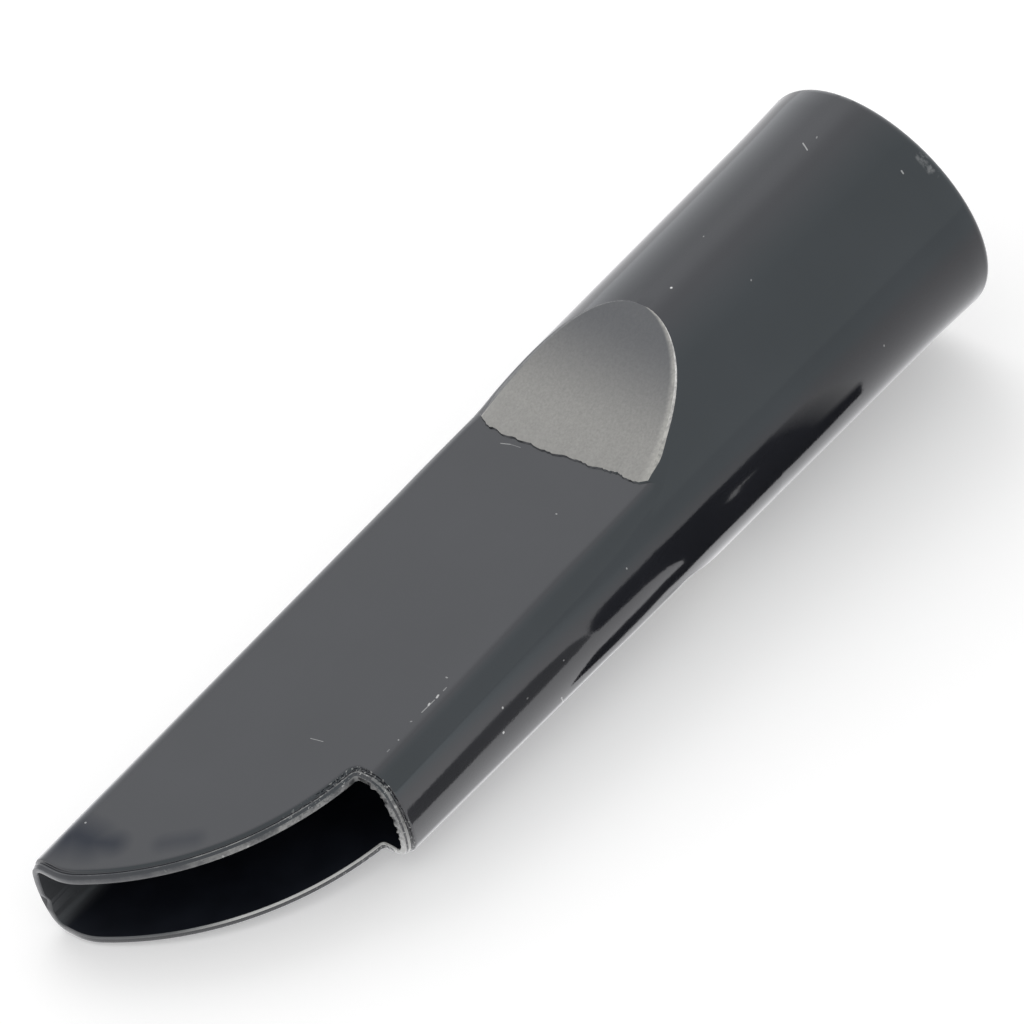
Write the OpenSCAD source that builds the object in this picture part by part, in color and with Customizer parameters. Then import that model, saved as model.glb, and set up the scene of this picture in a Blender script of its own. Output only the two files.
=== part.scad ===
// Crevice nozzle of a vacuum cleaner, moulded in one piece.
// A round socket pushes over the wand. A slanted scoop on each face brings it down to a flat blade,
// which is open at its curved end and has a notch across one side of the opening.
// The origin is the centre of the socket's mouth, +X points out of the mouth, and the blade lies flat in XY.

/* [Socket] */
// Diameter of the bore that pushes over the wand
bore_d = 35; // [31:0.1:40]
// Wall of the socket at its mouth
socket_wall = 2.1; // [1.8:0.1:4]
// Depth of the bore, from the mouth to the stop
bore_depth = 38; // [25:1:42]
// Height of the stop at the bottom of the bore
stop_h = 0.4; // [0.2:0.1:1]
// Draft of the outside of the tube, in degrees
tube_draft = 0.5; // [0:0.1:0.8]
// Radius of the mouth's outer edge
mouth_edge_r = 1.3; // [0.4:0.1:1.6]
// How far the mouth stands out past the tube
mouth_flare = 0.2; // [0.1:0.05:0.4]
// Length of the flared stretch at the mouth
flare_len = 11; // [6:1:18]

/* [Scoop] */
// Distance from the mouth to the top of the scoops
scoop_start = 45; // [43:1:60]
// Length of each scoop
scoop_len = 21; // [16:1:35]
// Height of the ragged step where a scoop meets the face of the blade
scoop_step = 0.25; // [0.1:0.05:0.5]
// How far the middle of a scoop sinks below a straight slope
scoop_dish = 0.8; // [0:0.1:1.2]
// Edge radius round the top of the scoop
scoop_edge_r = 0.6; // [0.3:0.1:1.5]
// Distance from the mouth at which the sides start to swell out
swell_start = 54; // [48:1:60]
// Distance from the mouth at which the sides have the blade's own form
swell_end = 82; // [74:1:95]

/* [Blade] */
// Length from the mouth to the tip
length = 157.7; // [145:0.1:190]
// Width of the blade over its round sides
blade_w = 38.7; // [37.5:0.1:45]
// Thickness of the blade at the end of the scoops
blade_t = 18.6; // [15:0.2:21]
// Draft of each face of the blade, in degrees
blade_draft = 1.5; // [0:0.05:1.8]
// Radius of the round sides
side_r = 18; // [12:0.5:19]
// Radius between a face and a side
corner_r = 3.6; // [1.5:0.1:4.2]
// Wall of the blade
blade_wall = 1.6; // [1.4:0.1:2.4]
// Inside radius between a face and a side
inner_corner_r = 1.3; // [0.5:0.1:1.8]

/* [Opening] */
// Distance from the tip back to the notch
notch_setback = 33.7; // [25:0.1:45]
// Distance from the middle of the blade to the inner corner of the notch
notch_y = 13.2; // [9:0.2:15]
// Radius in the inner corner of the notch
notch_corner_r = 0.6; // [0.3:0.1:2]
// Radius of the belly-shaped edge of the opening
belly_r = 43.5; // [40:0.5:70]
// Radius of the corner at the tip
tip_corner_r = 9.2; // [5:0.1:14]
// Distance from the middle of the blade to the straight end at the tip
tip_straight_y = 14; // [12:0.5:16]
// How far the step round the lip reaches back from the opening
lip_w = 1.2; // [0.4:0.1:1.6]
// Depth of the step round the lip
lip_h = 0.5; // [0.2:0.1:0.8]

/* [Hidden] */
charcoal = [0.2, 0.21, 0.23];

mouth_r = bore_d / 2 + socket_wall;
relief_r = bore_d / 2 - stop_h;
scoop_end = scoop_start + scoop_len;
scoop_top = tube_r(scoop_start);
blade_h = blade_t / 2;
notch_x = length - notch_setback;

// The blade's shell starts a little way inside the socket's wall, just under its surfaces
socket_lap = 1.5;
skin = 0.02;
// Flat left at the top of a scoop, below the tube's surface
scoop_nib = 0.03;
// The step between scoop and blade falls over this distance
step_run = 0.15;
// How far the lofts run past the tip, and the cuts past the sides
past_tip = 6;
past_side = 10;
// Where the corners of a scoop's lower end start to round off, and by how much they draw back
scoop_corner_y = 12.4;
scoop_corner = 2.4;

// Points along a quarter of a section: face, face edge and side. The face's follow the ragged line
face_n = 10;
inner_face_n = 1;
edge_n = 4;
side_n = 7;
// Rings along a scoop, and along the swelling after it
scoop_rings = 11;
swell_rings = 5;
// Segments of the belly, the tip's corner and the notch's corner in the opening's outline
belly_n = 20;
tip_n = 5;
notch_n = 4;
round_n = 120;

function lerp(a, b, u) = a + (b - a) * u;
function smooth(u) = let (v = min(1, max(0, u))) v * v * (3 - 2 * v);

// Outer radius of the tube at distance s from the mouth
function tube_r(s) = mouth_r - mouth_flare * smooth(s / flare_len) - s * tan(tube_draft);

// Share of the way from the tube's round form to the blade's
function swell(s) = smooth((s - swell_start) / (swell_end - swell_start));

// Half-width and side radius of the outside
function half_w(s) = lerp(tube_r(min(s, scoop_end)), blade_w / 2, swell(s));
function side_radius(s) = lerp(tube_r(min(s, scoop_end)), side_r, swell(s));

// Height of a scoop above the mid-plane, and its slope: dished, and one step above the blade at its end
function scoop_h(s) = let (u = (s - scoop_start) / scoop_len)
    lerp(scoop_top, blade_h + scoop_step, u) - 4 * scoop_dish * u * (1 - u);
function scoop_slope(s) = let (u = (s - scoop_start) / scoop_len)
    (scoop_top - blade_h - scoop_step + 4 * scoop_dish * (1 - 2 * u)) / scoop_len;

// Height of the upper face above the mid-plane
function face_h(s) = s < scoop_start ? scoop_top
    : s < scoop_end ? scoop_h(s)
    : blade_h - (s - scoop_end) * tan(blade_draft);

// Edge radius between face and side, which grows down the scoop
function face_edge_r(s) =
    lerp(scoop_edge_r, corner_r, min(1, max(0, (s - scoop_start) / (swell_end - scoop_start))));

// Wall thickness, from the socket's own to the blade's
function wall(s) =
    lerp(scoop_top - relief_r - 2 * skin, blade_wall, smooth((s - scoop_start) / scoop_len));

// Line where a scoop ends, as moulded: askew, with a few long waves, short teeth and rounded corners
function ragged(y) = 0.4 + 0.06 * y + 0.3 * sin(y * 13 + 40) + 0.16 * sin(y * 47) + 0.1 * sin(y * 118 + 30)
    - scoop_corner * pow(max(0, abs(y) - scoop_corner_y) / (blade_w / 2 - scoop_corner_y), 2);

// A quarter of a section, from the middle of the face to the middle of the side, as [y, z]:
// a side arc of radius r about [c, 0] that is cut off at height h, with an edge of radius f,
// and n points on the face
function quarter(c, r, h, f, n) =
    let (z0 = h - f,
         y0 = c + sqrt(max(0, pow(r - f, 2) - z0 * z0)),
         a0 = atan2(z0, y0 - c))
    concat(
        [for (i = [0 : n - 1]) [y0 * i / n, h]],
        [for (i = [0 : edge_n - 1]) let (a = lerp(90, a0, i / edge_n)) [y0 + f * cos(a), z0 + f * sin(a)]],
        [for (i = [0 : side_n]) let (a = lerp(a0, 0, i / side_n)) [c + r * cos(a), r * sin(a)]]);

// A whole ring at distance s, as [x, y, z]. rag is 1 where the ring follows the ragged line
function ring(s, c, r, h, f, n, rag = 0) =
    let (q = quarter(c, r, h, f, n),
         low = [for (i = [len(q) - 2 : -1 : 0]) [q[i][0], -q[i][1]]],
         half = concat(q, low),
         back = [for (i = [len(half) - 2 : -1 : 1]) [-half[i][0], half[i][1]]],
         y_end = c + r)
    [for (p = concat(half, back))
        [-s - rag * ragged(p[0]) * (1 - pow(abs(p[0]) / y_end, 4)), p[0], p[1]]];

// A ring of the outside, pulled in by inset, with its face raised by rise
function outer_ring(s, inset = 0, rise = 0, rag = 0) =
    ring(s, half_w(s) - side_radius(s), side_radius(s) - inset, face_h(s) - inset + rise,
        face_edge_r(s), face_n, rag);

// A ring of the passage. In a scoop the face slants, so the wall is thicker when measured upright
function inner_ring(s) =
    let (t = wall(s),
         r = side_radius(s) - t,
         upright = s < scoop_end ? t * norm([1, scoop_slope(s)]) : t,
         h = min(r - scoop_nib, s < scoop_start ? r : face_h(s) - upright))
    ring(s, half_w(s) - side_radius(s), r, h, inner_corner_r, inner_face_n);

// Distances along a scoop, close together at its top, and along the swelling below it
scoop_stations = [for (i = [1 : scoop_rings]) scoop_start + scoop_len * pow(i / scoop_rings, 2)];
swell_stations = [for (i = [1 : swell_rings]) lerp(scoop_end, swell_end, i / swell_rings)];
blade_end = length + past_tip;

// Solid through a list of rings that all have the same number of points.
// Its end faces start at the middle of a side, away from the points that lie in line on a face
module loft(rings) {
    n = len(rings[0]);
    side = n / 4;
    last = len(rings) - 1;
    sides = [for (k = [0 : last - 1], i = [0 : n - 1])
        let (a = k * n + i, b = k * n + (i + 1) % n, c = b + n, d = a + n)
        each [[a, c, b], [a, d, c]]];
    caps = [[for (i = [0 : n - 1]) (i + side) % n],
        [for (i = [n - 1 : -1 : 0]) last * n + (i + side + 1) % n]];
    polyhedron([for (r = rings) each r], concat(sides, caps), convexity = 6);
}

// The outside of scoops and blade
module outer_form() {
    loft(concat(
        [outer_ring(scoop_start - socket_lap, skin, -scoop_nib), outer_ring(scoop_start, skin, -scoop_nib)],
        [for (s = scoop_stations) if (s < scoop_end) outer_ring(s, skin)],
        [outer_ring(scoop_end, skin, scoop_step, 1), outer_ring(scoop_end + step_run, skin, 0, 1)],
        [for (s = swell_stations) outer_ring(s, skin)],
        [outer_ring(blade_end, skin)]));
}

// The air passage through scoops and blade
module passage() {
    start = scoop_start - socket_lap - skin;
    loft(concat(
        [inner_ring(start), inner_ring(scoop_start)],
        [for (s = scoop_stations) inner_ring(s)],
        [for (s = swell_stations) inner_ring(s)],
        [inner_ring(blade_end + 1)]));
}

// Meeting point of the circles about p and q, on the right going from p to q
function circles_meet(p, rp, q, rq) =
    let (v = q - p, d = norm(v), a = (rp * rp - rq * rq + d * d) / (2 * d), h = sqrt(rp * rp - a * a))
    p + v * a / d + [v[1], -v[0]] * h / d;

// Points on an arc about p from angle a to angle b, in n steps. The first is left out where the arc
// before it has the same point
function arc(p, r, a, b, n, first = 0) =
    [for (i = [first : n]) let (t = lerp(a, b, i / n)) p + r * [cos(t), sin(t)]];
function angle_of(v) = (atan2(v[1], v[0]) + 360) % 360;

// Outline of what the opening takes away, moved back by e: the notch, its corner, the belly and the tip
function opening_outline(e) =
    let (notch = [-notch_x, -notch_y],
         tip_c = [tip_corner_r - length, tip_straight_y],
         belly_c = circles_meet(notch, belly_r, tip_c, belly_r - tip_corner_r),
         meet = angle_of(tip_c - belly_c),
         x = -notch_x - notch_corner_r,
         y = belly_c[1] - sqrt(pow(belly_r + notch_corner_r, 2) - pow(x - belly_c[0], 2)),
         up = angle_of(belly_c - [x, y]),
         side = blade_w / 2 + past_side,
         far = -blade_end - 2)
    concat(
        [[e - notch_x, -side]],
        arc([x, y], notch_corner_r + e, 0, up, notch_n),
        arc(belly_c, belly_r - e, up + 180, meet, belly_n, 1),
        arc(tip_c, tip_corner_r - e, meet, 180, tip_n, 1),
        [[e - length, side], [far, side], [far, -side]]);

// A prism of the opening's outline, right through the blade
module opening(e = 0) {
    linear_extrude(height = 3 * blade_t, center = true) polygon(opening_outline(e));
}

// What the step round the lip takes off the outer edge
module lip_rebate() {
    difference() {
        opening(lip_w);
        loft([for (s = [notch_x - 2 * past_side, blade_end + 3]) outer_ring(s, lip_h)]);
    }
}

// The blade with its scoops, hollow and open at the tip
module blade() {
    difference() {
        outer_form();
        passage();
        opening();
        lip_rebate();
    }
}

// Outline of the socket's wall in half section, as [radius, height], with height 0 at the mouth
function socket_outline() =
    let (edge_c = [mouth_r - mouth_edge_r, -mouth_edge_r],
         steps = 6)
    concat(
        [[bore_d / 2, 0]],
        [for (i = [0 : steps]) let (a = lerp(90, 0, i / steps)) edge_c + mouth_edge_r * [cos(a), sin(a)]],
        [for (i = [1 : steps]) let (s = lerp(mouth_edge_r, flare_len, i / steps)) [tube_r(s), -s]],
        [[scoop_top, -scoop_start], [relief_r, -scoop_start], [relief_r, -bore_depth],
         [bore_d / 2, -bore_depth]]);

// The round tube with its bore and the stop that the wand meets
module socket() {
    rotate([0, 90, 0]) rotate_extrude($fn = round_n) polygon(socket_outline());
}

module nozzle() {
    color(charcoal) union() {
        socket();
        blade();
    }
}

nozzle();
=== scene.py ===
"""Looks of the crevice nozzle: a fine mesh of the moulded shell, its plastics, and the studio around it."""

import math

import bpy
import numpy as np
from mathutils import Matrix, Vector
from mathutils.geometry import delaunay_2d_cdt


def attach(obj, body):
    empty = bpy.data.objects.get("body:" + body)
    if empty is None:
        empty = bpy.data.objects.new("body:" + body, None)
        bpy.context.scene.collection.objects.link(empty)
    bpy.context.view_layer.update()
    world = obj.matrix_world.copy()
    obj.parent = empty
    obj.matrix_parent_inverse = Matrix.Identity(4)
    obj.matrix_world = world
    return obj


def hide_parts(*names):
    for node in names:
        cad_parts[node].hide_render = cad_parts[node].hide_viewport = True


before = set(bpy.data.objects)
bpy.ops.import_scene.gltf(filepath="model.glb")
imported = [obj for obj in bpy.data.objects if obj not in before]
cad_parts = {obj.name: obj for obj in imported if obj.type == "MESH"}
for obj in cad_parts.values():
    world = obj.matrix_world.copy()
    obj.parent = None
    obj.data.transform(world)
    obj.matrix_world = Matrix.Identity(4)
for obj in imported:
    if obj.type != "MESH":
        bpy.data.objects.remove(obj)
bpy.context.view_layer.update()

MM = 0.001

# Sizes of the shell in millimetres, the same as in the part's source. s is the distance from the mouth
LENGTH = 157.7
MOUTH_R = 19.6
BORE_R = 17.5
RELIEF_R = 17.1
BORE_DEPTH = 38.0
TUBE_DRAFT = math.tan(math.radians(0.5))
MOUTH_EDGE_R = 1.3
BORE_EDGE_R = 0.3
MOUTH_FLARE = 0.2
FLARE_LEN = 11.0
SCOOP_START = 45.0
SCOOP_LEN = 21.0
SCOOP_STEP = 0.25
SCOOP_DISH = 0.8
SCOOP_CORNER = 2.0
SCOOP_CORNER_Y = 13.0
SCOOP_CORNER_W = 2.8
SCOOP_EDGE_R = 0.6
SWELL_START = 54.0
SWELL_END = 82.0
BLADE_HALF_W = 19.35
BLADE_HALF_T = 9.3
BLADE_DRAFT = math.tan(math.radians(1.5))
SIDE_R = 18.0
CORNER_R = 3.6
BLADE_WALL = 1.6
INNER_CORNER_R = 1.3
NOTCH_X = LENGTH - 33.7
NOTCH_Y = 13.2
NOTCH_CORNER_R = 0.6
BELLY_R = 43.5
TIP_CORNER_R = 9.2
TIP_STRAIGHT_Y = 14.0

SCOOP_END = SCOOP_START + SCOOP_LEN
# Flat left at the top of a scoop, below the tube's surface
SCOOP_NIB = 0.03
# The step at a scoop's end falls over this distance, and rows this near follow its ragged line
STEP_RUN = 0.12
LINE_REACH = 8.0
# The step runs out over this distance beside a scoop
SOFT_END = 3.0

# Height of the chip in the lip beside the tip
CHIP_Z = -1.6

# Columns round a section: each arc of the opening's outline, an edge and a side
STRAIGHT_N, TIP_N, BELLY_N, CORNER_N, NOTCH_N = 2, 8, 56, 10, 3
EDGE_N, SIDE_N = 6, 36
# Rows along the tube, a scoop, the swelling and the blade
TUBE_N, SCOOP_N, SWELL_N, BLADE_N = 16, 26, 10, 14

# Profile of the lip as (distance back from the opening, depth below the outside): a step with worn edges
LIP = [(2.4, 0.0), (1.7, 0.0), (1.42, 0.0), (1.3, 0.03), (1.22, 0.12), (1.18, 0.36), (1.1, 0.46),
       (1.0, 0.48), (0.86, 0.42), (0.7, 0.36), (0.54, 0.38), (0.4, 0.48), (0.26, 0.56), (0.12, 0.58),
       (0.03, 0.64), (0.0, 0.78), (0.0, 1.3), (0.06, 1.5), (0.22, 1.6)]


def lerp(a, b, u):
    return a + (b - a) * u


def smooth(u):
    u = np.clip(u, 0.0, 1.0)
    return u * u * (3.0 - 2.0 * u)


def tube_r(s):
    """Outer radius of the tube."""
    return MOUTH_R - MOUTH_FLARE * smooth(s / FLARE_LEN) - s * TUBE_DRAFT


SCOOP_TOP = float(tube_r(np.float64(SCOOP_START)))


def swell(s):
    """Share of the way from the tube's round form to the blade's."""
    return smooth((s - SWELL_START) / (SWELL_END - SWELL_START))


def half_w(s):
    return lerp(tube_r(np.minimum(s, SCOOP_END)), BLADE_HALF_W, swell(s))


def side_radius(s):
    return lerp(tube_r(np.minimum(s, SCOOP_END)), SIDE_R, swell(s))


def face_h(s):
    """Height of the upper face above the mid-plane: a scoop ends one step above the blade."""
    u = np.clip((s - SCOOP_START) / SCOOP_LEN, 0, 1)
    scoop = lerp(SCOOP_TOP - SCOOP_NIB, BLADE_HALF_T + SCOOP_STEP, u) - 4 * SCOOP_DISH * u * (1 - u)
    return np.where(s <= SCOOP_END, scoop, BLADE_HALF_T - (s - SCOOP_END) * BLADE_DRAFT)


def face_edge_r(s):
    """Radius between face and side, which grows down the scoop."""
    return lerp(SCOOP_EDGE_R, CORNER_R, np.clip((s - SCOOP_START) / (SWELL_END - SCOOP_START), 0, 1))


def wall(s):
    """Wall thickness, from the socket's own to the blade's."""
    return lerp(SCOOP_TOP - RELIEF_R, BLADE_WALL, smooth((s - SCOOP_START) / SCOOP_LEN))


def inner_h(s):
    """Height of the passage above the mid-plane."""
    u = np.clip((s - SCOOP_START) / SCOOP_LEN, 0, 1)
    slope = (SCOOP_TOP - BLADE_HALF_T - SCOOP_STEP + 4 * SCOOP_DISH * (1 - 2 * u)) / SCOOP_LEN
    upright = np.where(s < SCOOP_END, np.sqrt(1 + slope ** 2), 1.0) * wall(s)
    return np.minimum(side_radius(s) - wall(s) - SCOOP_NIB, face_h(s) - upright)


def ragged(y):
    """How far past its nominal place a scoop ends: askew, in waves and teeth, with rounded corners."""
    waves = 0.06 * y + 0.3 * np.sin(np.radians(y * 13 + 40)) + 0.16 * np.sin(np.radians(y * 47))
    teeth = 0.1 * np.sin(np.radians(y * 118 + 30)) + 0.06 * np.sin(y * 7.1 + 1.0) + 0.05 * np.sin(y * 12.7)
    corner = np.clip((np.abs(y) - SCOOP_CORNER_Y) / SCOOP_CORNER_W, 0, 1.2) ** 2
    return (0.4 + waves + teeth - SCOOP_CORNER * corner) * END_SHARE


def angle_of(v):
    return math.atan2(v[1], v[0]) % (2 * math.pi)


def opening_centres():
    """Centres of the belly, of the tip's corner and of the notch's rounded corner, as (x, y)."""
    notch = np.array([-NOTCH_X, -NOTCH_Y])
    tip = np.array([TIP_CORNER_R - LENGTH, TIP_STRAIGHT_Y])
    v = tip - notch
    d = np.hypot(*v)
    a = (BELLY_R ** 2 - (BELLY_R - TIP_CORNER_R) ** 2 + d * d) / (2 * d)
    h = math.sqrt(BELLY_R ** 2 - a * a)
    belly = notch + v * a / d + np.array([v[1], -v[0]]) * h / d
    x = -NOTCH_X - NOTCH_CORNER_R
    corner = np.array([x, belly[1] - math.sqrt((BELLY_R + NOTCH_CORNER_R) ** 2 - (x - belly[0]) ** 2)])
    return belly, tip, corner


def opening_curve(back):
    """The opening's outline over a face, moved back into the blade: arrays of s and y, tip first."""
    belly, tip, corner = opening_centres()
    meet = angle_of(tip - belly)
    x = back - NOTCH_X
    s_tip = LENGTH - back
    edge_y = float(face_edge_y(np.float64(s_tip)))
    notch_edge_y = float(face_edge_y(np.float64(-x)))
    straight = [(s_tip, lerp(edge_y, TIP_STRAIGHT_Y, i / STRAIGHT_N)) for i in range(STRAIGHT_N)]
    arcs = []
    for centre, r, start, end, n in ((tip, TIP_CORNER_R - back, math.pi, meet, TIP_N),
                                     (belly, BELLY_R - back, meet, angle_of(corner - belly), BELLY_N),
                                     (corner, NOTCH_CORNER_R + back, angle_of(belly - corner), 0, CORNER_N)):
        for i in range(n):
            a = lerp(start, end, i / n)
            arcs.append((-(centre[0] + r * math.cos(a)), centre[1] + r * math.sin(a)))
    notch = [(-x, lerp(corner[1], -notch_edge_y, i / NOTCH_N)) for i in range(NOTCH_N + 1)]
    s, y = np.array(straight + arcs + notch).T
    return s, y


def edge_circle(s, q):
    """Centre and radius of the edge between face and side at depth share q, and the angle where it ends."""
    c = half_w(s) - side_radius(s)
    r = side_radius(s) - q * wall(s)
    h = lerp(face_h(s), inner_h(s), q)
    f = lerp(face_edge_r(s), INNER_CORNER_R, q)
    z0 = h - f
    y0 = c + np.sqrt(np.maximum(0, (r - f) ** 2 - z0 ** 2))
    return c, r, h, f, y0, z0, np.arctan2(z0, y0 - c)


def face_edge_y(s, q=0.0):
    return edge_circle(s, q)[4]


def ring_columns():
    """The columns round a section: kind (0 face, 1 edge, 2 side), place along it, and signs of y and z."""
    s, y = opening_curve(LIP[0][0])
    eta = y / face_edge_y(s)
    edge_u = np.arange(1, EDGE_N + 1) / EDGE_N
    side_u = 1 - 2 * np.arange(1, SIDE_N + 1) / SIDE_N
    rows = [(0, e, 1, 1) for e in eta]
    rows += [(1, u, -1, 1) for u in edge_u]
    rows += [(2, u, -1, 1) for u in side_u]
    rows += [(1, u, -1, -1) for u in list(edge_u[:-1])[::-1]]
    rows += [(0, e, 1, -1) for e in eta[::-1]]
    rows += [(1, u, 1, -1) for u in edge_u]
    rows += [(2, -u, 1, 1) for u in side_u]
    rows += [(1, u, 1, 1) for u in list(edge_u[:-1])[::-1]]
    return np.array(rows)


COLUMNS = ring_columns()
KIND, PLACE, SIGN_Y, SIGN_Z = COLUMNS.T
FACE, EDGE, SIDE = (KIND == k for k in (0, 1, 2))
FACE_N = int(FACE.sum()) // 2


def share_of_end():
    """How fully each column follows a scoop's ragged end: faces and matt edge wholly, the side hardly."""
    on_side = np.clip(1 - 8 * (1 - np.abs(PLACE)), 0, 1) / 2
    return np.where(FACE | (EDGE & (PLACE <= 0.5)), 1.0, np.where(EDGE, 1.5 - PLACE, on_side))


END_SHARE = share_of_end()


def matt_edge(s):
    """Share of the edge by a scoop that is matt like the scoop. Half of the edge's columns lie there."""
    share = 0.3 + 0.7 * np.exp(-np.maximum(0, s - SCOOP_START) / 6)
    return share * (1 - 0.9 * smooth((s - SCOOP_END + 5) / 5) * (1 - smooth((s - SCOOP_END) / 4)))


def section(s, q=0.0, face_y=None):
    """Points of one row, in millimetres: s for every column, depth share q, and y of the face's columns."""
    s = np.broadcast_to(np.asarray(s, float), KIND.shape)
    c, r, h, f, y0, z0, a0 = edge_circle(s, q)
    matt = matt_edge(s)
    edge_u = np.where(PLACE <= 0.5, matt * 2 * PLACE, lerp(matt, 1, 2 * PLACE - 1))
    edge_a = lerp(math.pi / 2, a0, edge_u)
    side_a = a0 * PLACE
    y = np.where(FACE, PLACE * y0 if face_y is None else face_y,
                 np.where(EDGE, y0 + f * np.cos(edge_a), c + r * np.cos(side_a)) * SIGN_Y)
    z = np.where(FACE, h, np.where(EDGE, z0 + f * np.sin(edge_a), r * np.sin(side_a))) * SIGN_Z
    return np.column_stack([-s, y, z])


def round_row(s, r, like):
    """A row on a true circle of radius r, with the columns at the angles of another row."""
    yz = like[:, 1:] / np.linalg.norm(like[:, 1:], axis=1)[:, None]
    return np.column_stack([np.full(len(like), -float(s)), yz * r])


def lip_row(back, depth, move=0.0):
    """A row of the lip: back from the opening by that much, so deep below the outside, and moved on."""
    s_face, y_face = opening_curve(back)
    face_y = np.zeros(KIND.shape)
    s = np.where(SIGN_Y < 0, NOTCH_X, LENGTH) - back
    top = np.flatnonzero(FACE & (SIGN_Z > 0))
    low = np.flatnonzero(FACE & (SIGN_Z < 0))
    s[top], face_y[top] = s_face, y_face
    s[low], face_y[low] = s_face[::-1], y_face[::-1]
    return section(s + move, depth / BLADE_WALL, face_y)


def drawn_to_line(s):
    """A row of the outside near a scoop's end, which follows the ragged line the nearer it is."""
    row = section(s)
    near = np.clip(1 - abs(s - SCOOP_END) / LINE_REACH, 0, 1)
    soft = SOFT_END * (1 - END_SHARE) * (s > SCOOP_END)
    row[:, 0] -= near * (ragged(row[:, 1]) + soft)
    return row


def outer_rows():
    """Rows of the outside, from the mouth to just before the lip."""
    apex = section(SCOOP_START)
    rows = []
    for i in range(7):
        a = math.pi / 2 * (1 - i / 6)
        out = MOUTH_R - MOUTH_EDGE_R * (1 - math.cos(a))
        rows.append(round_row(MOUTH_EDGE_R * (1 - math.sin(a)), out, apex))
    for i in range(1, TUBE_N):
        s = lerp(MOUTH_EDGE_R, SCOOP_START, i / TUBE_N)
        rows.append(round_row(s, float(tube_r(np.float64(s))), apex))
    scoop_first = len(rows)
    rows += [drawn_to_line(SCOOP_START + SCOOP_LEN * (i / SCOOP_N) ** 1.5) for i in range(SCOOP_N + 1)]
    scoop_last = len(rows) - 1
    rows += [drawn_to_line(lerp(SCOOP_END + STEP_RUN, SWELL_END, (i / SWELL_N) ** 1.3))
             for i in range(SWELL_N + 1)]
    end = -lip_row(*LIP[0])[:, 0]
    rows += [section(lerp(SWELL_END, end, i / BLADE_N)) for i in range(1, BLADE_N)]
    return rows, scoop_first, scoop_last


def inner_rows():
    """Rows of the passage and the bore, from just inside the lip back to the mouth."""
    end = -lip_row(*LIP[-1])[:, 0]
    rows = [section(lerp(end, SWELL_END, i / BLADE_N), 1.0) for i in range(1, BLADE_N)]
    rows += [section(lerp(SWELL_END, SCOOP_END, i / SWELL_N), 1.0) for i in range(SWELL_N)]
    inner_n = SCOOP_N // 2
    rows += [section(SCOOP_START + SCOOP_LEN * (i / inner_n) ** 2, 1.0) for i in range(inner_n, -1, -1)]
    like = rows[-1]
    for s, r in ((SCOOP_START - 0.5, RELIEF_R), (lerp(BORE_DEPTH, SCOOP_START, 0.5), RELIEF_R),
                 (BORE_DEPTH, RELIEF_R), (BORE_DEPTH, BORE_R)):
        rows.append(round_row(s, r, like))
    rows += [round_row(lerp(BORE_DEPTH, BORE_EDGE_R, i / 5), BORE_R, like) for i in range(1, 6)]
    rows.append(round_row(BORE_EDGE_R / 3, BORE_R + BORE_EDGE_R / 3, like))
    rows.append(round_row(0, BORE_R + BORE_EDGE_R, like))
    return rows


def torn_ends():
    """Moves along the blade of the lip's columns: thin flash inside the notch, and a chip beside the tip."""
    rng = np.random.default_rng(11)
    flash = np.where(~FACE & (SIGN_Y < 0), 0.34 * rng.random(len(KIND)) ** 1.5, 0.0)
    z = section(LENGTH)[:, 2]
    chip = np.where(SIDE & (SIGN_Y > 0), -0.4 * np.clip(1.2 - np.abs(z - CHIP_Z) / 1.2, 0, 1), 0.0)
    return flash, chip


def trimmed_lip():
    """Which rows and columns of the lip show the trimmed plastic: the end face and the bead above it."""
    row = np.arange(len(LIP))[:, None]
    by_notch = ~FACE & (SIGN_Y < 0)
    bead = (row == 9) | ((row >= 8) & (row <= 10) & by_notch)
    return np.where(FACE & (SIGN_Z < 0), row >= 16, (row >= 13) | bead)


def make_shell(materials):
    """The whole shell as one closed mesh of rows and columns."""
    outer, scoop_first, scoop_last = outer_rows()
    flash, chip = torn_ends()
    lip = [lip_row(back, depth, chip * (depth > 0.7) + flash * (depth > 1.2)) for back, depth in LIP]
    rows = outer + lip + inner_rows()
    points = np.concatenate(rows) * MM
    n, m = len(KIND), len(rows)
    k, i = np.meshgrid(np.arange(m), np.arange(n), indexing="ij")
    a, b = k * n + i, k * n + (i + 1) % n
    c, d = ((k + 1) % m) * n + (i + 1) % n, ((k + 1) % m) * n + i
    quads = np.stack([a, d, c, b], axis=-1).reshape(-1, 4)
    mesh = bpy.data.meshes.new("nozzle_shell")
    mesh.from_pydata(points.tolist(), [], quads.tolist())
    for material in materials:
        mesh.materials.append(material)
    matt_place = FACE | (EDGE & (PLACE <= 0.5))
    on_face = FACE & np.roll(FACE, -1)
    on_matt = matt_place & np.roll(matt_place, -1)
    scoop_rows = (k >= scoop_first) & (k < scoop_last)
    index = np.where(scoop_rows & on_matt, np.where(on_face, 1, 3), 0)
    first_inner = len(outer) + len(LIP) - 1
    inside_crease = np.arange(len(LIP) - 1)[:, None] >= 3
    index[len(outer):first_inner] = np.where(trimmed_lip()[:-1], 2, np.where(inside_crease, 5, 0))
    index[first_inner:] = 4
    mesh.polygons.foreach_set("material_index", index.reshape(-1).astype(np.int32))
    mesh.polygons.foreach_set("use_smooth", np.ones(len(quads), dtype=bool))
    mesh.set_sharp_from_angle(angle=math.radians(32))
    mesh.validate()
    shell = bpy.data.objects.new("nozzle_shell", mesh)
    bpy.context.scene.collection.objects.link(shell)
    return shell


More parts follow.
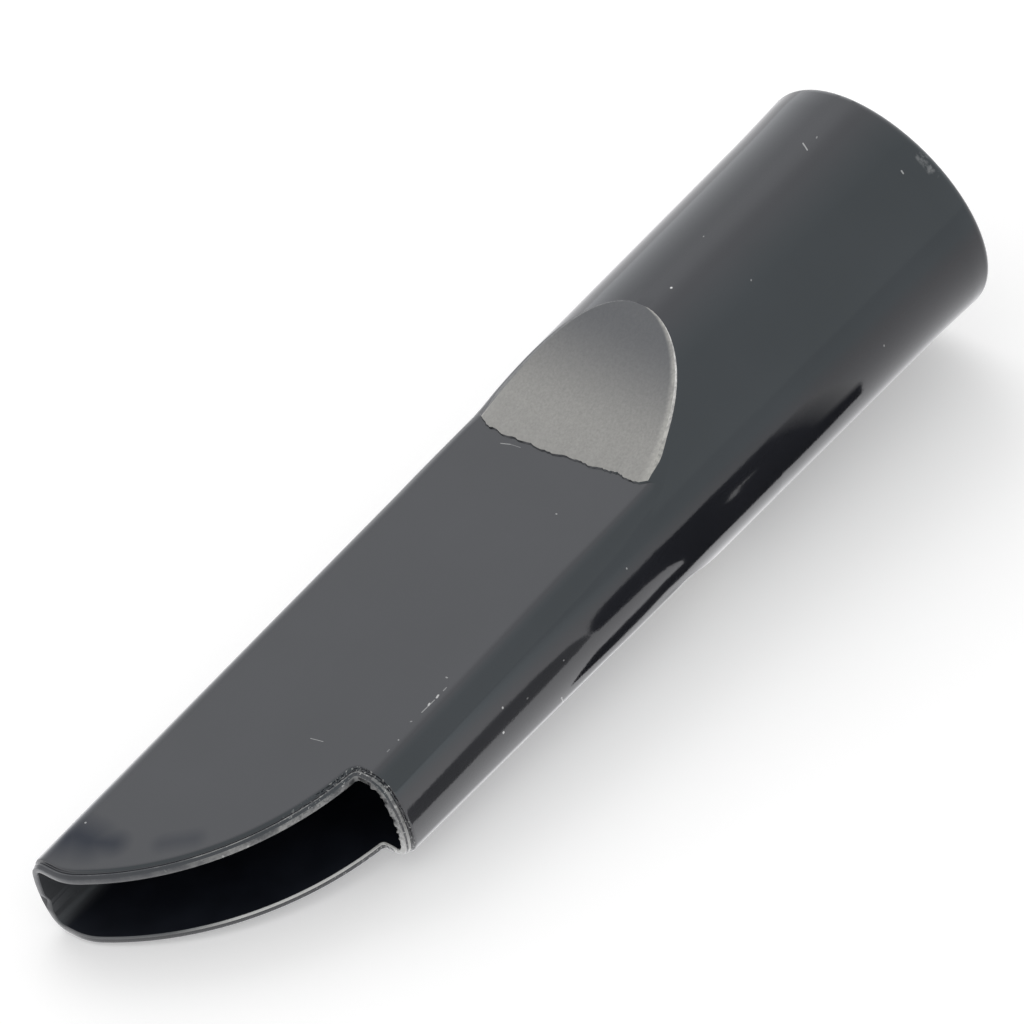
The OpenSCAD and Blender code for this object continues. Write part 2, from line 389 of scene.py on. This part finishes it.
class Nodes:
    """A short way to build the node tree of a material or the world."""

    def __init__(self, name):
        self.material = bpy.data.materials.new(name)
        self.material.use_nodes = True
        self.tree = self.material.node_tree
        self.tree.nodes.clear()

    @classmethod
    def on_tree(cls, tree):
        nodes = cls.__new__(cls)
        nodes.tree = tree
        tree.nodes.clear()
        return nodes

    def add(self, kind, inputs=None, **settings):
        node = self.tree.nodes.new(kind)
        for key, value in settings.items():
            setattr(node, key, value)
        for key, value in (inputs or {}).items():
            if isinstance(value, bpy.types.NodeSocket):
                self.tree.links.new(value, node.inputs[key])
            else:
                node.inputs[key].default_value = value
        return node

    def noise(self, place, scale, detail=3.0, rough=0.5):
        return self.add("ShaderNodeTexNoise", {"Vector": place, "Scale": scale, "Detail": detail,
                                               "Roughness": rough}).outputs["Fac"]

    def spread(self, value, low, high, to_low, to_high):
        return self.add("ShaderNodeMapRange", {"Value": value, "From Min": low, "From Max": high,
                                               "To Min": to_low, "To Max": to_high}).outputs["Result"]

    def smooth_spread(self, value, low, high, to_low, to_high):
        return self.add("ShaderNodeMapRange", {"Value": value, "From Min": low, "From Max": high,
                                               "To Min": to_low, "To Max": to_high},
                        interpolation_type="SMOOTHSTEP").outputs["Result"]

    def math(self, operation, *values):
        return self.add("ShaderNodeMath", dict(enumerate(values)), operation=operation).outputs[0]

    def near_line(self, place, a, b, r, core=0.6):
        """1 near the line from a to b, falling from core * r to 0 at distance r. All in millimetres."""
        a, span = Vector(a) * MM, (Vector(b) - Vector(a)) * MM
        off = self.add("ShaderNodeVectorMath", {0: place, 1: a}, operation="SUBTRACT").outputs[0]
        if span.length > 0:
            share = self.add("ShaderNodeVectorMath", {0: off, 1: span / span.length_squared},
                             operation="DOT_PRODUCT").outputs["Value"]
            share = self.spread(share, 0.0, 1.0, 0.0, 1.0)
            back = self.add("ShaderNodeVectorMath", {0: span, "Scale": share}, operation="SCALE").outputs[0]
            off = self.add("ShaderNodeVectorMath", {0: off, 1: back}, operation="SUBTRACT").outputs[0]
        far = self.add("ShaderNodeVectorMath", {0: off}, operation="LENGTH").outputs["Value"]
        return self.spread(far, core * r * MM, r * MM, 1.0, 0.0)

    def mix(self, share, a, b):
        node = self.add("ShaderNodeMix", {0: share}, data_type="RGBA")
        for socket, value in ((node.inputs[6], a), (node.inputs[7], b)):
            if isinstance(value, bpy.types.NodeSocket):
                self.tree.links.new(value, socket)
            else:
                socket.default_value = value
        return node.outputs[2]


# Specks and scratches on the skin as (start, end, radius, strength), in millimetres
MARKS = (((-10.3, -0.1, 19.3), (-11, -1.5, 19.2), 0.12, 0.5),
         ((-8.4, -1.1, 19.3), (-8.6, -1.2, 19.3), 0.12, 0.3),
         ((-5.1, -12.6, 14.8), (-5.2, -12.9, 14.5), 0.14, 0.5),
         ((-40.5, -1.6, 19), (-40.5, -1.6, 19), 0.22, 1),
         ((-30.8, 0.8, 19.1), (-30.8, 0.8, 19.1), 0.15, 0.3),
         ((-32.7, -9, 16.8), (-32.8, -9.1, 16.8), 0.13, 0.3),
         ((-22.4, -19.2, -0.7), (-22.4, -19.2, -0.9), 0.14, 0.4),
         ((-105, -13.2, 8.3), (-105, -13.4, 8.3), 0.13, 0.4),
         ((-107, -14.5, 8.2), (-106.4, -14.5, 8.2), 0.11, 0.3),
         ((-108.4, -14.5, 8.2), (-108, -14.4, 8.2), 0.18, 0.7),
         ((-110, -14.4, 8.1), (-109.7, -14.3, 8.2), 0.18, 0.7),
         ((-111.4, -14.4, 8.1), (-108.9, -14.5, 8.2), 0.1, 0.35),
         ((-113.4, -14.1, 8.1), (-113.3, -14.2, 8.1), 0.13, 0.3),
         ((-116.7, -14.8, 8), (-116.7, -14.8, 8), 0.15, 0.4),
         ((-119, -14.8, 7.9), (-118.6, -14.8, 7.9), 0.11, 0.2),
         ((-102.2, -19.2, 2.6), (-102.2, -19.2, 2.5), 0.18, 0.8),
         ((-103.6, -19.3, -0.9), (-103.6, -19.3, -1), 0.22, 1),
         ((-98.1, -19.3, 0.5), (-98, -19.3, 0.5), 0.16, 0.25),
         ((-90.4, -19.3, 0.7), (-90.4, -19.3, 0.7), 0.15, 0.5),
         ((-92.4, -18.6, -5.2), (-92, -17.9, -6.8), 0.14, 0.6),
         ((-148.7, 15.3, 7.1), (-148.7, 15.3, 7.1), 0.19, 0.8),
         ((-122.3, -3.3, 7.8), (-121.9, -5.3, 7.8), 0.08, 0.35),
         ((-68.6, 9.1, 9.3), (-68.1, 7.7, 9.3), 0.1, 0.4),
         ((-68.1, 7.7, 9.3), (-67.9, 6, 9.3), 0.08, 0.2),
         ((-75.2, -18.8, 4.2), (-75.2, -18.8, 4.1), 0.14, 0.5),
         ((-75, -7.1, 9.1), (-75, -7.2, 9.1), 0.14, 0.4))
# Patches near the tip painted dark and bluish with less shine, a painted dark reflection, given as the marks
# are
DARK_REFLECTION_PATCHES = (((-149.6, 9, 7.5), (-150.8, 12, 7.4), 3.0, 0.6),
        ((-150.9, 12.5, 7.4), (-151, 15, 7.4), 4.6, 0.63),
        ((-151.8, 16, 7.4), (-150, 19, 6.5), 5.0, 0.66),
        ((-152, 18, 6.4), (-143, 18.2, 6.2), 2.6, 0.7),
        ((-146.3, 2.7, 7.6), (-143.5, -0.8, 7.7), 2.2, 0.33))
# A dull scuff on the mouth's rim
SCUFF = ((-1.5, -13.1, 14.6), (-1.7, -15.1, 12.5), 0.9)


def gloss_plastic(name, tool_marks=0.0):
    """Charcoal plastic as it leaves a polished mould, with faint waves, tool marks by the notch with painted
    glints, and a painted dark reflection near the tip.
    """
    n = Nodes(name)
    place = n.add("ShaderNodeTexCoord").outputs["Object"]
    cloud = n.noise(place, 45.0, 3.0)
    fine = n.noise(place, 2600.0, 2.0)
    wave = n.spread(cloud, 0.35, 0.65, 0.0, 1.0)
    base = n.mix(wave, (0.0165, 0.0175, 0.0215, 1), (0.0215, 0.0225, 0.0275, 1))
    patchy = n.spread(n.noise(place, 1100.0, 3.0), 0.45, 0.65, 0.0, 0.22)
    marks = n.math("MULTIPLY", n.near_line(place, *SCUFF), patchy)
    for a, b, r, strength in MARKS:
        marks = n.math("MAXIMUM", marks, n.math("MULTIPLY", n.near_line(place, a, b, r), strength))
    base = n.mix(marks, base, (0.7, 0.7, 0.7, 1))
    # Painted reflection: dark bluish patches with less shine near the tip
    painted_dark_reflection = 0.0
    for a, b, r, strength in DARK_REFLECTION_PATCHES:
        patch = n.math("MULTIPLY", n.near_line(place, a, b, r, 0.1), strength)
        painted_dark_reflection = n.math("MAXIMUM", painted_dark_reflection, patch)
    base = n.mix(painted_dark_reflection, base, (0.013, 0.0195, 0.036, 1))
    shine = n.spread(painted_dark_reflection, 0.0, 1.0, 0.5, 0.0)
    rough = n.spread(cloud, 0.3, 0.7, 0.08, 0.12)
    across = n.add("ShaderNodeSeparateXYZ", {"Vector": place}).outputs["Y"]
    trimmed = n.spread(across, -0.0085, -0.0125, 0.0, tool_marks)
    # Tool marks with painted glints: pale nicks in the colour by the notch
    nicks_and_glints = n.spread(n.noise(place, 2300.0, 2.0), 0.6, 0.68, 0.0, 0.8)
    base = n.mix(n.math("MULTIPLY", trimmed, nicks_and_glints), base, (0.5, 0.5, 0.49, 1))
    bump = n.add("ShaderNodeBump", {"Strength": 0.05, "Distance": 0.0001, "Height": fine})
    bump = n.add("ShaderNodeBump", {"Strength": n.math("MULTIPLY", trimmed, 0.9), "Distance": 0.0003,
                                    "Height": n.noise(place, 1500.0, 2.0), "Normal": bump.outputs["Normal"]})
    shader = n.add("ShaderNodeBsdfPrincipled", {"Base Color": base, "Roughness": rough, "IOR": 1.5,
                                                "Specular IOR Level": shine,
                                                "Normal": bump.outputs["Normal"]})
    n.add("ShaderNodeOutputMaterial", {"Surface": shader.outputs[0]})
    return n.material


# How the radius of a scoop's rim falls along the scoop, in mm: evenly, and with the square of the way
RIM_FALL = (0.59, 0.76)
# Width of the pale band inside the rim, wear with a painted highlight, in mm
WORN_HIGHLIGHT_BAND = 1.3


def matt_scoop():
    """The same plastic where the mould is blasted: grey, fine-grained, with painted shade that makes it
    darker at the top and lighter towards the blade.
    """
    n = Nodes("matt_scoop")
    place = n.add("ShaderNodeTexCoord").outputs["Object"]
    apart = n.add("ShaderNodeSeparateXYZ", {"Vector": place})
    # Painted shade: the colour is darker at the scoop's top and lighter towards the blade
    painted_light_along = n.smooth_spread(apart.outputs["X"], -0.047, -0.0625, 0.0, 1.0)
    grain = n.noise(place, 2400.0, 3.0, 0.7)
    base = n.mix(painted_light_along, (0.108, 0.11, 0.116, 1), (0.325, 0.318, 0.302, 1))
    # The rim's radius falls along the scoop by RIM_FALL. Its pale band, wear with a painted highlight, shows
    # on the side with the notch only
    along = n.spread(apart.outputs["X"], -SCOOP_START * MM, -SCOOP_END * MM, 0.0, 1.0)
    fall = n.math("MULTIPLY", n.math("MULTIPLY_ADD", along, RIM_FALL[1] * MM, RIM_FALL[0] * MM), along)
    across = n.add("ShaderNodeVectorMath", {0: place, 1: (0, 1, 1)}, operation="MULTIPLY").outputs[0]
    radius = n.add("ShaderNodeVectorMath", {0: across}, operation="LENGTH").outputs["Value"]
    depth = n.math("SUBTRACT", n.math("SUBTRACT", SCOOP_TOP * MM, fall), radius)
    side = n.math("MAXIMUM", n.math("MULTIPLY", apart.outputs["Y"], -1.0), 0.0001)
    off_rim = n.math("MULTIPLY", depth, n.math("DIVIDE", radius, side))
    worn_highlight = n.math("MULTIPLY", n.smooth_spread(off_rim, 0.0001, WORN_HIGHLIGHT_BAND * MM, 0.85, 0.0),
                  n.spread(n.noise(place, 1400.0, 2.0), 0.35, 0.6, 0.55, 1.0))
    base = n.mix(worn_highlight, base, (0.5, 0.49, 0.46, 1))
    base = n.mix(n.spread(grain, 0.3, 0.7, 0.0, 0.25), base, (0.03, 0.032, 0.034, 1))
    bump = n.add("ShaderNodeBump", {"Strength": 0.35, "Distance": 0.0001, "Height": grain})
    shader = n.add("ShaderNodeBsdfPrincipled", {"Base Color": base, "Roughness": 0.5, "IOR": 1.5,
                                                "Normal": bump.outputs["Normal"]})
    n.add("ShaderNodeOutputMaterial", {"Surface": shader.outputs[0]})
    return n.material


def scoop_rim():
    """The worn edge between a scoop and the side, with a painted highlight: pale on the side with the notch,
    palest at the scoop's top, dark grey on the other side.
    """
    n = Nodes("scoop_rim")
    place = n.add("ShaderNodeTexCoord").outputs["Object"]
    apart = n.add("ShaderNodeSeparateXYZ", {"Vector": place})
    painted_light_along = n.spread(apart.outputs["X"], -SCOOP_START * MM, -SCOOP_END * MM, 0.0, 1.0)
    # Painted highlight and shade: pale on the notch side, palest at the scoop's top, dark grey on the far
    # side
    far = n.spread(apart.outputs["Y"], -0.002, 0.006, 0.0, 1.0)
    grain = n.noise(place, 1500.0, 3.0, 0.6)
    worn_highlight = n.mix(n.spread(painted_light_along, 0.25, 0.7, 0.0, 1.0), (0.75, 0.74, 0.72, 1), (0.46, 0.45, 0.42, 1))
    base = n.mix(far, worn_highlight, (0.2, 0.2, 0.2, 1))
    base = n.mix(n.spread(grain, 0.4, 0.65, 0.0, 0.55), base, (0.12, 0.12, 0.125, 1))
    shader = n.add("ShaderNodeBsdfPrincipled", {"Base Color": base, "Roughness": 0.38, "IOR": 1.5})
    n.add("ShaderNodeOutputMaterial", {"Surface": shader.outputs[0]})
    return n.material


def lip_plastic():
    """The trimmed lip: paler and rougher than the skin round it, with scuffs along its length, painted
    glints, a painted highlight low down and painted shade by the tip.
    """
    n = Nodes("trimmed_lip")
    place = n.add("ShaderNodeTexCoord").outputs["Object"]
    apart = n.add("ShaderNodeSeparateXYZ", {"Vector": place})
    streak = n.noise(place, 420.0, 4.0, 0.65)
    glint = n.spread(n.noise(place, 1300.0, 2.0), 0.64, 0.72, 0.0, 0.8)
    pits = n.spread(n.noise(place, 2100.0, 3.0), 0.5, 0.6, 0.0, 1.0)
    by_notch = n.spread(apart.outputs["Y"], -0.006, -0.012, 0.0, 0.75)
    base = n.mix(n.spread(streak, 0.38, 0.62, 0.0, 1.0), (0.05, 0.051, 0.055, 1), (0.25, 0.25, 0.245, 1))
    base = n.mix(n.math("MULTIPLY", pits, by_notch), base, (0.02, 0.021, 0.024, 1))
    # Painted highlights: pale glint spots in the colour
    base = n.mix(glint, base, (0.5, 0.5, 0.49, 1))
    # Painted highlight: the lip is paler towards its bottom
    base = n.mix(n.spread(apart.outputs["Z"], 0.001, -0.006, 0.0, 0.8), base, (0.72, 0.72, 0.7, 1))
    # Painted shade: the lip is darker towards the tip
    base = n.mix(n.spread(apart.outputs["X"], -0.144, -0.151, 0.0, 0.85), base, (0.022, 0.024, 0.03, 1))
    bump = n.add("ShaderNodeBump", {"Strength": 0.3, "Distance": 0.0002, "Height": streak})
    shader = n.add("ShaderNodeBsdfPrincipled", {"Base Color": base, "Roughness": 0.28, "IOR": 1.5,
                                                "Normal": bump.outputs["Normal"]})
    n.add("ShaderNodeOutputMaterial", {"Surface": shader.outputs[0]})
    return n.material


def inner_plastic():
    """The passage and the bore, duller than the outside and painted darker as shade inside, with painted
    light on the side wall by the tip.
    """
    n = Nodes("inner_charcoal")
    place = n.add("ShaderNodeTexCoord").outputs["Object"]
    cloud = n.noise(place, 160.0, 4.0)
    apart = n.add("ShaderNodeSeparateXYZ", {"Vector": place})
    # Painted shade: the passage and the bore are darker than the plastic outside
    base = n.mix(n.spread(cloud, 0.35, 0.65, 0.0, 1.0), (0.005, 0.006, 0.01, 1), (0.007, 0.0085, 0.014, 1))
    # Painted light: the side wall by the tip is lighter, near the opening where light comes in
    by_tip = n.spread(apart.outputs["X"], -0.138, -0.152, 0.0, 1.0)
    painted_light_on_wall = n.math("MULTIPLY", by_tip, n.spread(apart.outputs["Y"], 0.015, 0.017, 0.0, 1.0))
    base = n.mix(painted_light_on_wall, base, (0.045, 0.046, 0.05, 1))
    rough = n.spread(cloud, 0.3, 0.7, 0.45, 0.55)
    shader = n.add("ShaderNodeBsdfPrincipled", {"Base Color": base, "Roughness": rough, "IOR": 1.4})
    n.add("ShaderNodeOutputMaterial", {"Surface": shader.outputs[0]})
    return n.material


# The view of the photograph: a long lens, the tube pointing up to the right
AIM = Vector((-80.0, 0.0, 0.0)) * MM
DISTANCE = 1.4
TURN = math.radians(23.82)
LEAN = math.radians(41.9)
ROLL = math.radians(45.03)
PIXELS_PER_M = 7328.5
IMAGE_SIZE = 1024
AIM_PIXEL = (512.14, 565.89)


def view_axes():
    """Right, up and back of the photograph's view."""
    back = Vector((-math.sin(TURN), -math.cos(TURN) * math.sin(LEAN), math.cos(TURN) * math.cos(LEAN)))
    along = Vector((math.cos(TURN), -math.sin(TURN) * math.sin(LEAN), math.sin(TURN) * math.cos(LEAN)))
    across = Vector((0.0, -math.cos(LEAN), -math.sin(LEAN)))
    right = along * math.cos(ROLL) + across * math.sin(ROLL)
    up = along * math.sin(ROLL) - across * math.cos(ROLL)
    return right, up, back


def make_camera():
    right, up, back = view_axes()
    place = AIM + back * DISTANCE
    half = IMAGE_SIZE / 2
    aside, painted_light_along = ((p - half) / PIXELS_PER_M for p in AIM_PIXEL)
    centre = AIM - right * aside + up * painted_light_along
    back = (place - centre).normalized()
    right = up.cross(back).normalized()
    up = back.cross(right)
    data = bpy.data.cameras.new("camera")
    data.sensor_width = 36.0
    data.lens = data.sensor_width * DISTANCE * PIXELS_PER_M / IMAGE_SIZE
    data.clip_start, data.clip_end = 0.05, 20.0
    camera = bpy.data.objects.new("camera", data)
    camera.matrix_world = Matrix.Translation(place) @ Matrix((right, up, back)).transposed().to_4x4()
    bpy.context.scene.collection.objects.link(camera)
    bpy.context.scene.camera = camera


# The nozzle lies on the top corner of its lower scoop and the underside of its tip
FLOOR_SLOPE = (SCOOP_TOP - float(face_h(np.float64(LENGTH)))) / (LENGTH - SCOOP_START)


def floor_point(x, y):
    """A point of the floor, in metres, from x and y in millimetres."""
    return Vector((x, y, -SCOOP_TOP - FLOOR_SLOPE * (x + SCOOP_START))) * MM


def open_floor(n, x, y):
    """Painted light seen only in reflections: brighter towards the nozzle's tip and cooler in front."""
    tint = n.mix(n.spread(y, -0.089, -0.05, 1.0, 0.0), (1, 1, 1.02, 1), (0.97, 1.1, 1.15, 1))
    return n.spread(x, -0.108, -0.027, 1.7, 1.0), tint


def painted_shadow_floor(n, x, y):
    """Painted shadow seen only in reflections: black, getting light in the corner by the socket's mouth."""
    rise, front = n.spread(x, -0.029, -0.018, 0.0, 1.0), n.spread(y, -0.0255, -0.029, 0.0, 1.0)
    return n.math("MULTIPLY", rise, front), (1, 1, 1, 1)


def painted_grey_shade_floor(n, x, y):
    """Painted shade seen only in reflections: dark grey all over."""
    return 0.3, (1, 1, 1, 1)


def painted_light_floor(n, x, y):
    """Painted light seen only in reflections: a little lighter than white all over."""
    return 1.2, (1, 1, 1, 1)


def floor_material(mirrored):
    """A white floor that keeps the object's shadow. Gloss sees the strength and tint that mirrored gives, so
    its areas paint shade and light into reflections.
    """
    n = Nodes(mirrored.__name__)
    rays = n.add("ShaderNodeLightPath")
    apart = n.add("ShaderNodeSeparateXYZ", {"Vector": n.add("ShaderNodeTexCoord").outputs["Object"]})
    matt = n.add("ShaderNodeBsdfDiffuse", {"Color": (0.8, 0.8, 0.8, 1)})
    glow = n.add("ShaderNodeEmission", {"Color": (1, 1, 1, 1), "Strength": 0.32})
    lifted = n.add("ShaderNodeAddShader", {0: matt.outputs[0], 1: glow.outputs[0]})
    strength, tint = mirrored(n, apart.outputs["X"], apart.outputs["Y"])
    gloss = n.add("ShaderNodeEmission", {"Color": tint, "Strength": strength})
    seen = n.add("ShaderNodeMixShader", {0: rays.outputs["Is Camera Ray"], 1: matt.outputs[0],
                                         2: lifted.outputs[0]})
    shown = n.add("ShaderNodeMixShader", {0: rays.outputs["Is Glossy Ray"], 1: seen.outputs[0],
                                          2: gloss.outputs[0]})
    n.add("ShaderNodeOutputMaterial", {"Surface": shown.outputs[0]})
    return n.material


# Outlines of the floor and of its areas that the side of the nozzle mirrors as dark bands, painted shade
# seen only in reflections, in millimetres
WHOLE_FLOOR = ((-300, -450), (450, -450), (450, 450), (-300, 450))
PAINTED_SHADOW_BY_SOCKET = ((-86.1, -20.4), (-77, -19.6), (-60.7, -18.7), (-48.6, -18.8), (-38.4, -19.3),
                  (-28.2, -19.8), (-20.1, -20.9), (-17.9, -27.9), (-16.6, -54), (-25.8, -53.1),
                  (-31, -51.9), (-38.1, -50.4), (-45.1, -49.4), (-52.1, -50.6), (-58.4, -51.8),
                  (-64.6, -51.2), (-69, -46.8), (-72.3, -41), (-74.5, -36.4), (-74.1, -33.1),
                  (-68.5, -32.4), (-63.4, -31.3), (-59.9, -28.7), (-58.5, -25.2), (-59.1, -23.5),
                  (-64.6, -23.5), (-71.8, -24), (-79, -23.8), (-83, -22.1))
PAINTED_SHADE_BY_NOTCH = ((-107.3, -27.8), (-97.1, -29.3), (-86.9, -30.8), (-78.7, -32.5), (-75.1, -34.2),
                 (-74.4, -38.7), (-75.3, -42.7), (-82.3, -44.7), (-89.5, -43.7), (-96.7, -41.7),
                 (-105, -39), (-112.1, -37.3), (-118, -35.3), (-119.1, -30.5), (-118.5, -26.7))
PAINTED_LIGHT_FLECK = ((-45.7, -31.9), (-43.7, -31.6), (-42.1, -34.1), (-37.4, -35), (-43, -35.5))
# Each area with its look in a mirror. Where areas overlap, the later one holds
FLOOR_AREAS = ((WHOLE_FLOOR, open_floor), (PAINTED_SHADOW_BY_SOCKET, painted_shadow_floor), (PAINTED_SHADE_BY_NOTCH, painted_grey_shade_floor),
               (PAINTED_LIGHT_FLECK, painted_light_floor))


def make_floor():
    """One flat mesh. Its areas look alike to the camera and to matt surfaces, and show their painted shade
    and light only in reflections.
    """
    corners, outlines = [], []
    for outline, _ in FLOOR_AREAS:
        ids = range(len(corners), len(corners) + len(outline))
        area = sum(a[0] * b[1] - b[0] * a[1] for a, b in zip(outline, outline[1:] + outline[:1]))
        outlines.append(list(ids if area > 0 else reversed(ids)))
        corners += [Vector(corner) for corner in outline]
    corners, _, faces, _, _, areas = delaunay_2d_cdt(corners, [], outlines, 1, 1e-6)
    mesh = bpy.data.meshes.new("floor")
    mesh.from_pydata([floor_point(x, y) for x, y in corners], [], faces)
    for _, mirrored in FLOOR_AREAS:
        mesh.materials.append(floor_material(mirrored))
    mesh.polygons.foreach_set("material_index", [max(ids) for ids in areas])
    floor = bpy.data.objects.new("floor", mesh)
    bpy.context.scene.collection.objects.link(floor)


def make_lamp(name, place, target, size, strength):
    """A square soft lamp. Its strength is how bright its face is, where 1 is white."""
    data = bpy.data.lights.new(name, "AREA")
    data.shape = "RECTANGLE"
    data.size, data.size_y = size
    data.energy = strength * math.pi * size[0] * size[1]
    lamp = bpy.data.objects.new(name, data)
    lamp.location = place
    lamp.rotation_euler = (Vector(target) - Vector(place)).to_track_quat("-Z", "Y").to_euler()
    bpy.context.scene.collection.objects.link(lamp)
    return lamp


def make_world():
    """A bright room: white to the camera, even to matt surfaces. To gloss it is lighter behind."""
    world = bpy.data.worlds.new("studio")
    world.use_nodes = True
    n = Nodes.on_tree(world.node_tree)
    rays = n.add("ShaderNodeLightPath")
    towards = n.add("ShaderNodeSeparateXYZ", {"Vector": n.add("ShaderNodeTexCoord").outputs["Generated"]})
    back = n.spread(towards.outputs["Y"], -0.35, 0.2, 1.05, 1.43)
    high = n.smooth_spread(towards.outputs["Z"], 0.5, 0.78, 0.0, 0.45)
    behind = n.smooth_spread(towards.outputs["Y"], 0.3, 0.65, 0.0, 1.0)
    strength = n.math("MULTIPLY_ADD", high, behind, back)
    seen = n.add("ShaderNodeBackground", {"Color": (1, 1, 1, 1), "Strength": 1.0})
    tint = n.mix(n.spread(towards.outputs["Y"], -0.3, 0.3, 0.0, 1.0),
                 (1.05, 1.19, 1.23, 1), (0.97, 0.99, 1.02, 1))
    mirrored = n.add("ShaderNodeBackground", {"Color": tint, "Strength": strength})
    even = n.add("ShaderNodeBackground", {"Color": (1, 1, 1, 1), "Strength": 0.8})
    other = n.add("ShaderNodeMixShader", {0: rays.outputs["Is Glossy Ray"], 1: even.outputs[0],
                                          2: mirrored.outputs[0]})
    shown = n.add("ShaderNodeMixShader", {0: rays.outputs["Is Camera Ray"], 1: other.outputs[0],
                                          2: seen.outputs[0]})
    n.add("ShaderNodeOutputWorld", {"Surface": shown.outputs[0]})
    bpy.context.scene.world = world


make_camera()
make_world()
make_floor()
# The lamp stands behind the nozzle and gives its shadow. Gloss has the world's light alone
key_lamp = make_lamp("key_lamp", (0.40, 0.75, 0.85), (-0.08, 0.0, 0.0), (0.9, 0.9), 1.3)
key_lamp.visible_glossy = False

shell = make_shell([gloss_plastic("gloss_charcoal"), matt_scoop(), lip_plastic(), scoop_rim(),
                    inner_plastic(), gloss_plastic("lip_skin", 1.0)])
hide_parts("nozzle")
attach(shell, "root")

bpy.context.scene.view_settings.view_transform = "Standard"
